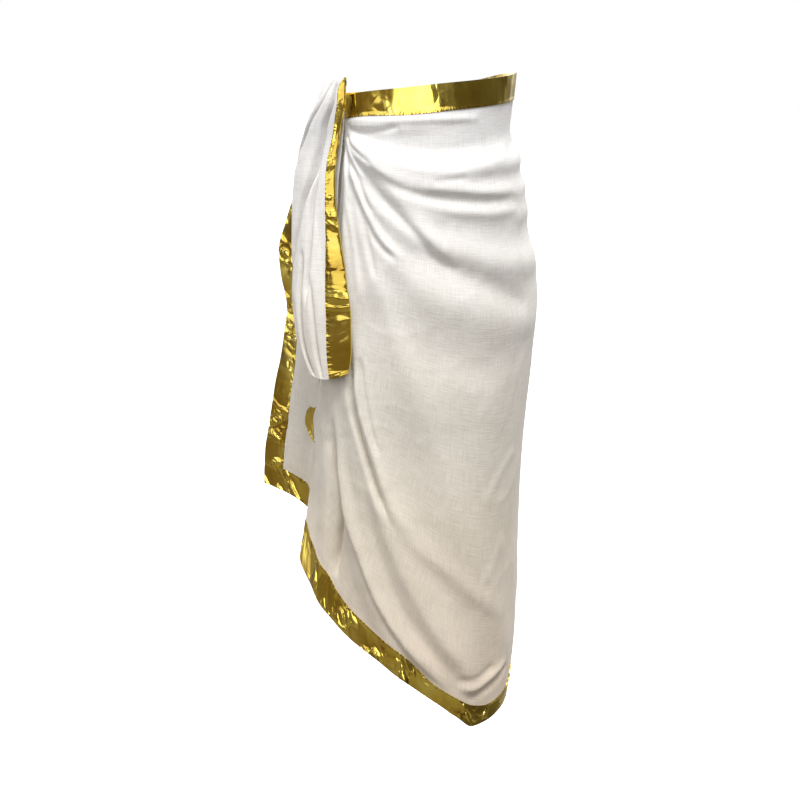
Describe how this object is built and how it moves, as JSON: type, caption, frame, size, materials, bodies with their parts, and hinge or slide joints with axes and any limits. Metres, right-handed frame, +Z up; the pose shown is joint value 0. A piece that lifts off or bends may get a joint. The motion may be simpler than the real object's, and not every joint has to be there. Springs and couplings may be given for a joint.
{
  "type": "sarong",
  "caption": "Wrapped white cotton sarong with gold foil edges, worn and tied at the wearer's front left; hollow, open at waist and hem.",
  "frame": {"origin": "middle of the waist opening, at the height of the side of the waist edge", "axes": "+Z up, the wearer faces -Y, the wearer's left side is +X"},
  "size_m": [0.3575, 0.3084, 0.7066],
  "materials": {
    "cotton_gauze": "matte open-weave white cotton",
    "gold_trim": "shiny creased gold foil bonded to cloth"
  },
  "bodies": {
    "root": {"wrap_left": "cotton_gauze", "wrap_back": "cotton_gauze", "wrap_right": "cotton_gauze", "front_fall": "cotton_gauze", "tail": "cotton_gauze", "tail_rear": "cotton_gauze", "under_tail": "cotton_gauze", "knot": "cotton_gauze", "waist_trim_left": "gold_trim", "waist_trim_back": "gold_trim", "waist_trim_right": "gold_trim", "hem_trim_left": "gold_trim", "hem_trim_back": "gold_trim", "hem_trim_right": "gold_trim", "under_edge_trim": "gold_trim", "front_fall_side_trim": "gold_trim", "front_fall_hem_trim": "gold_trim", "tail_trim": "gold_trim", "tail_rear_trim": "gold_trim", "under_tail_trim": "gold_trim"}
  },
  "joints": []
}
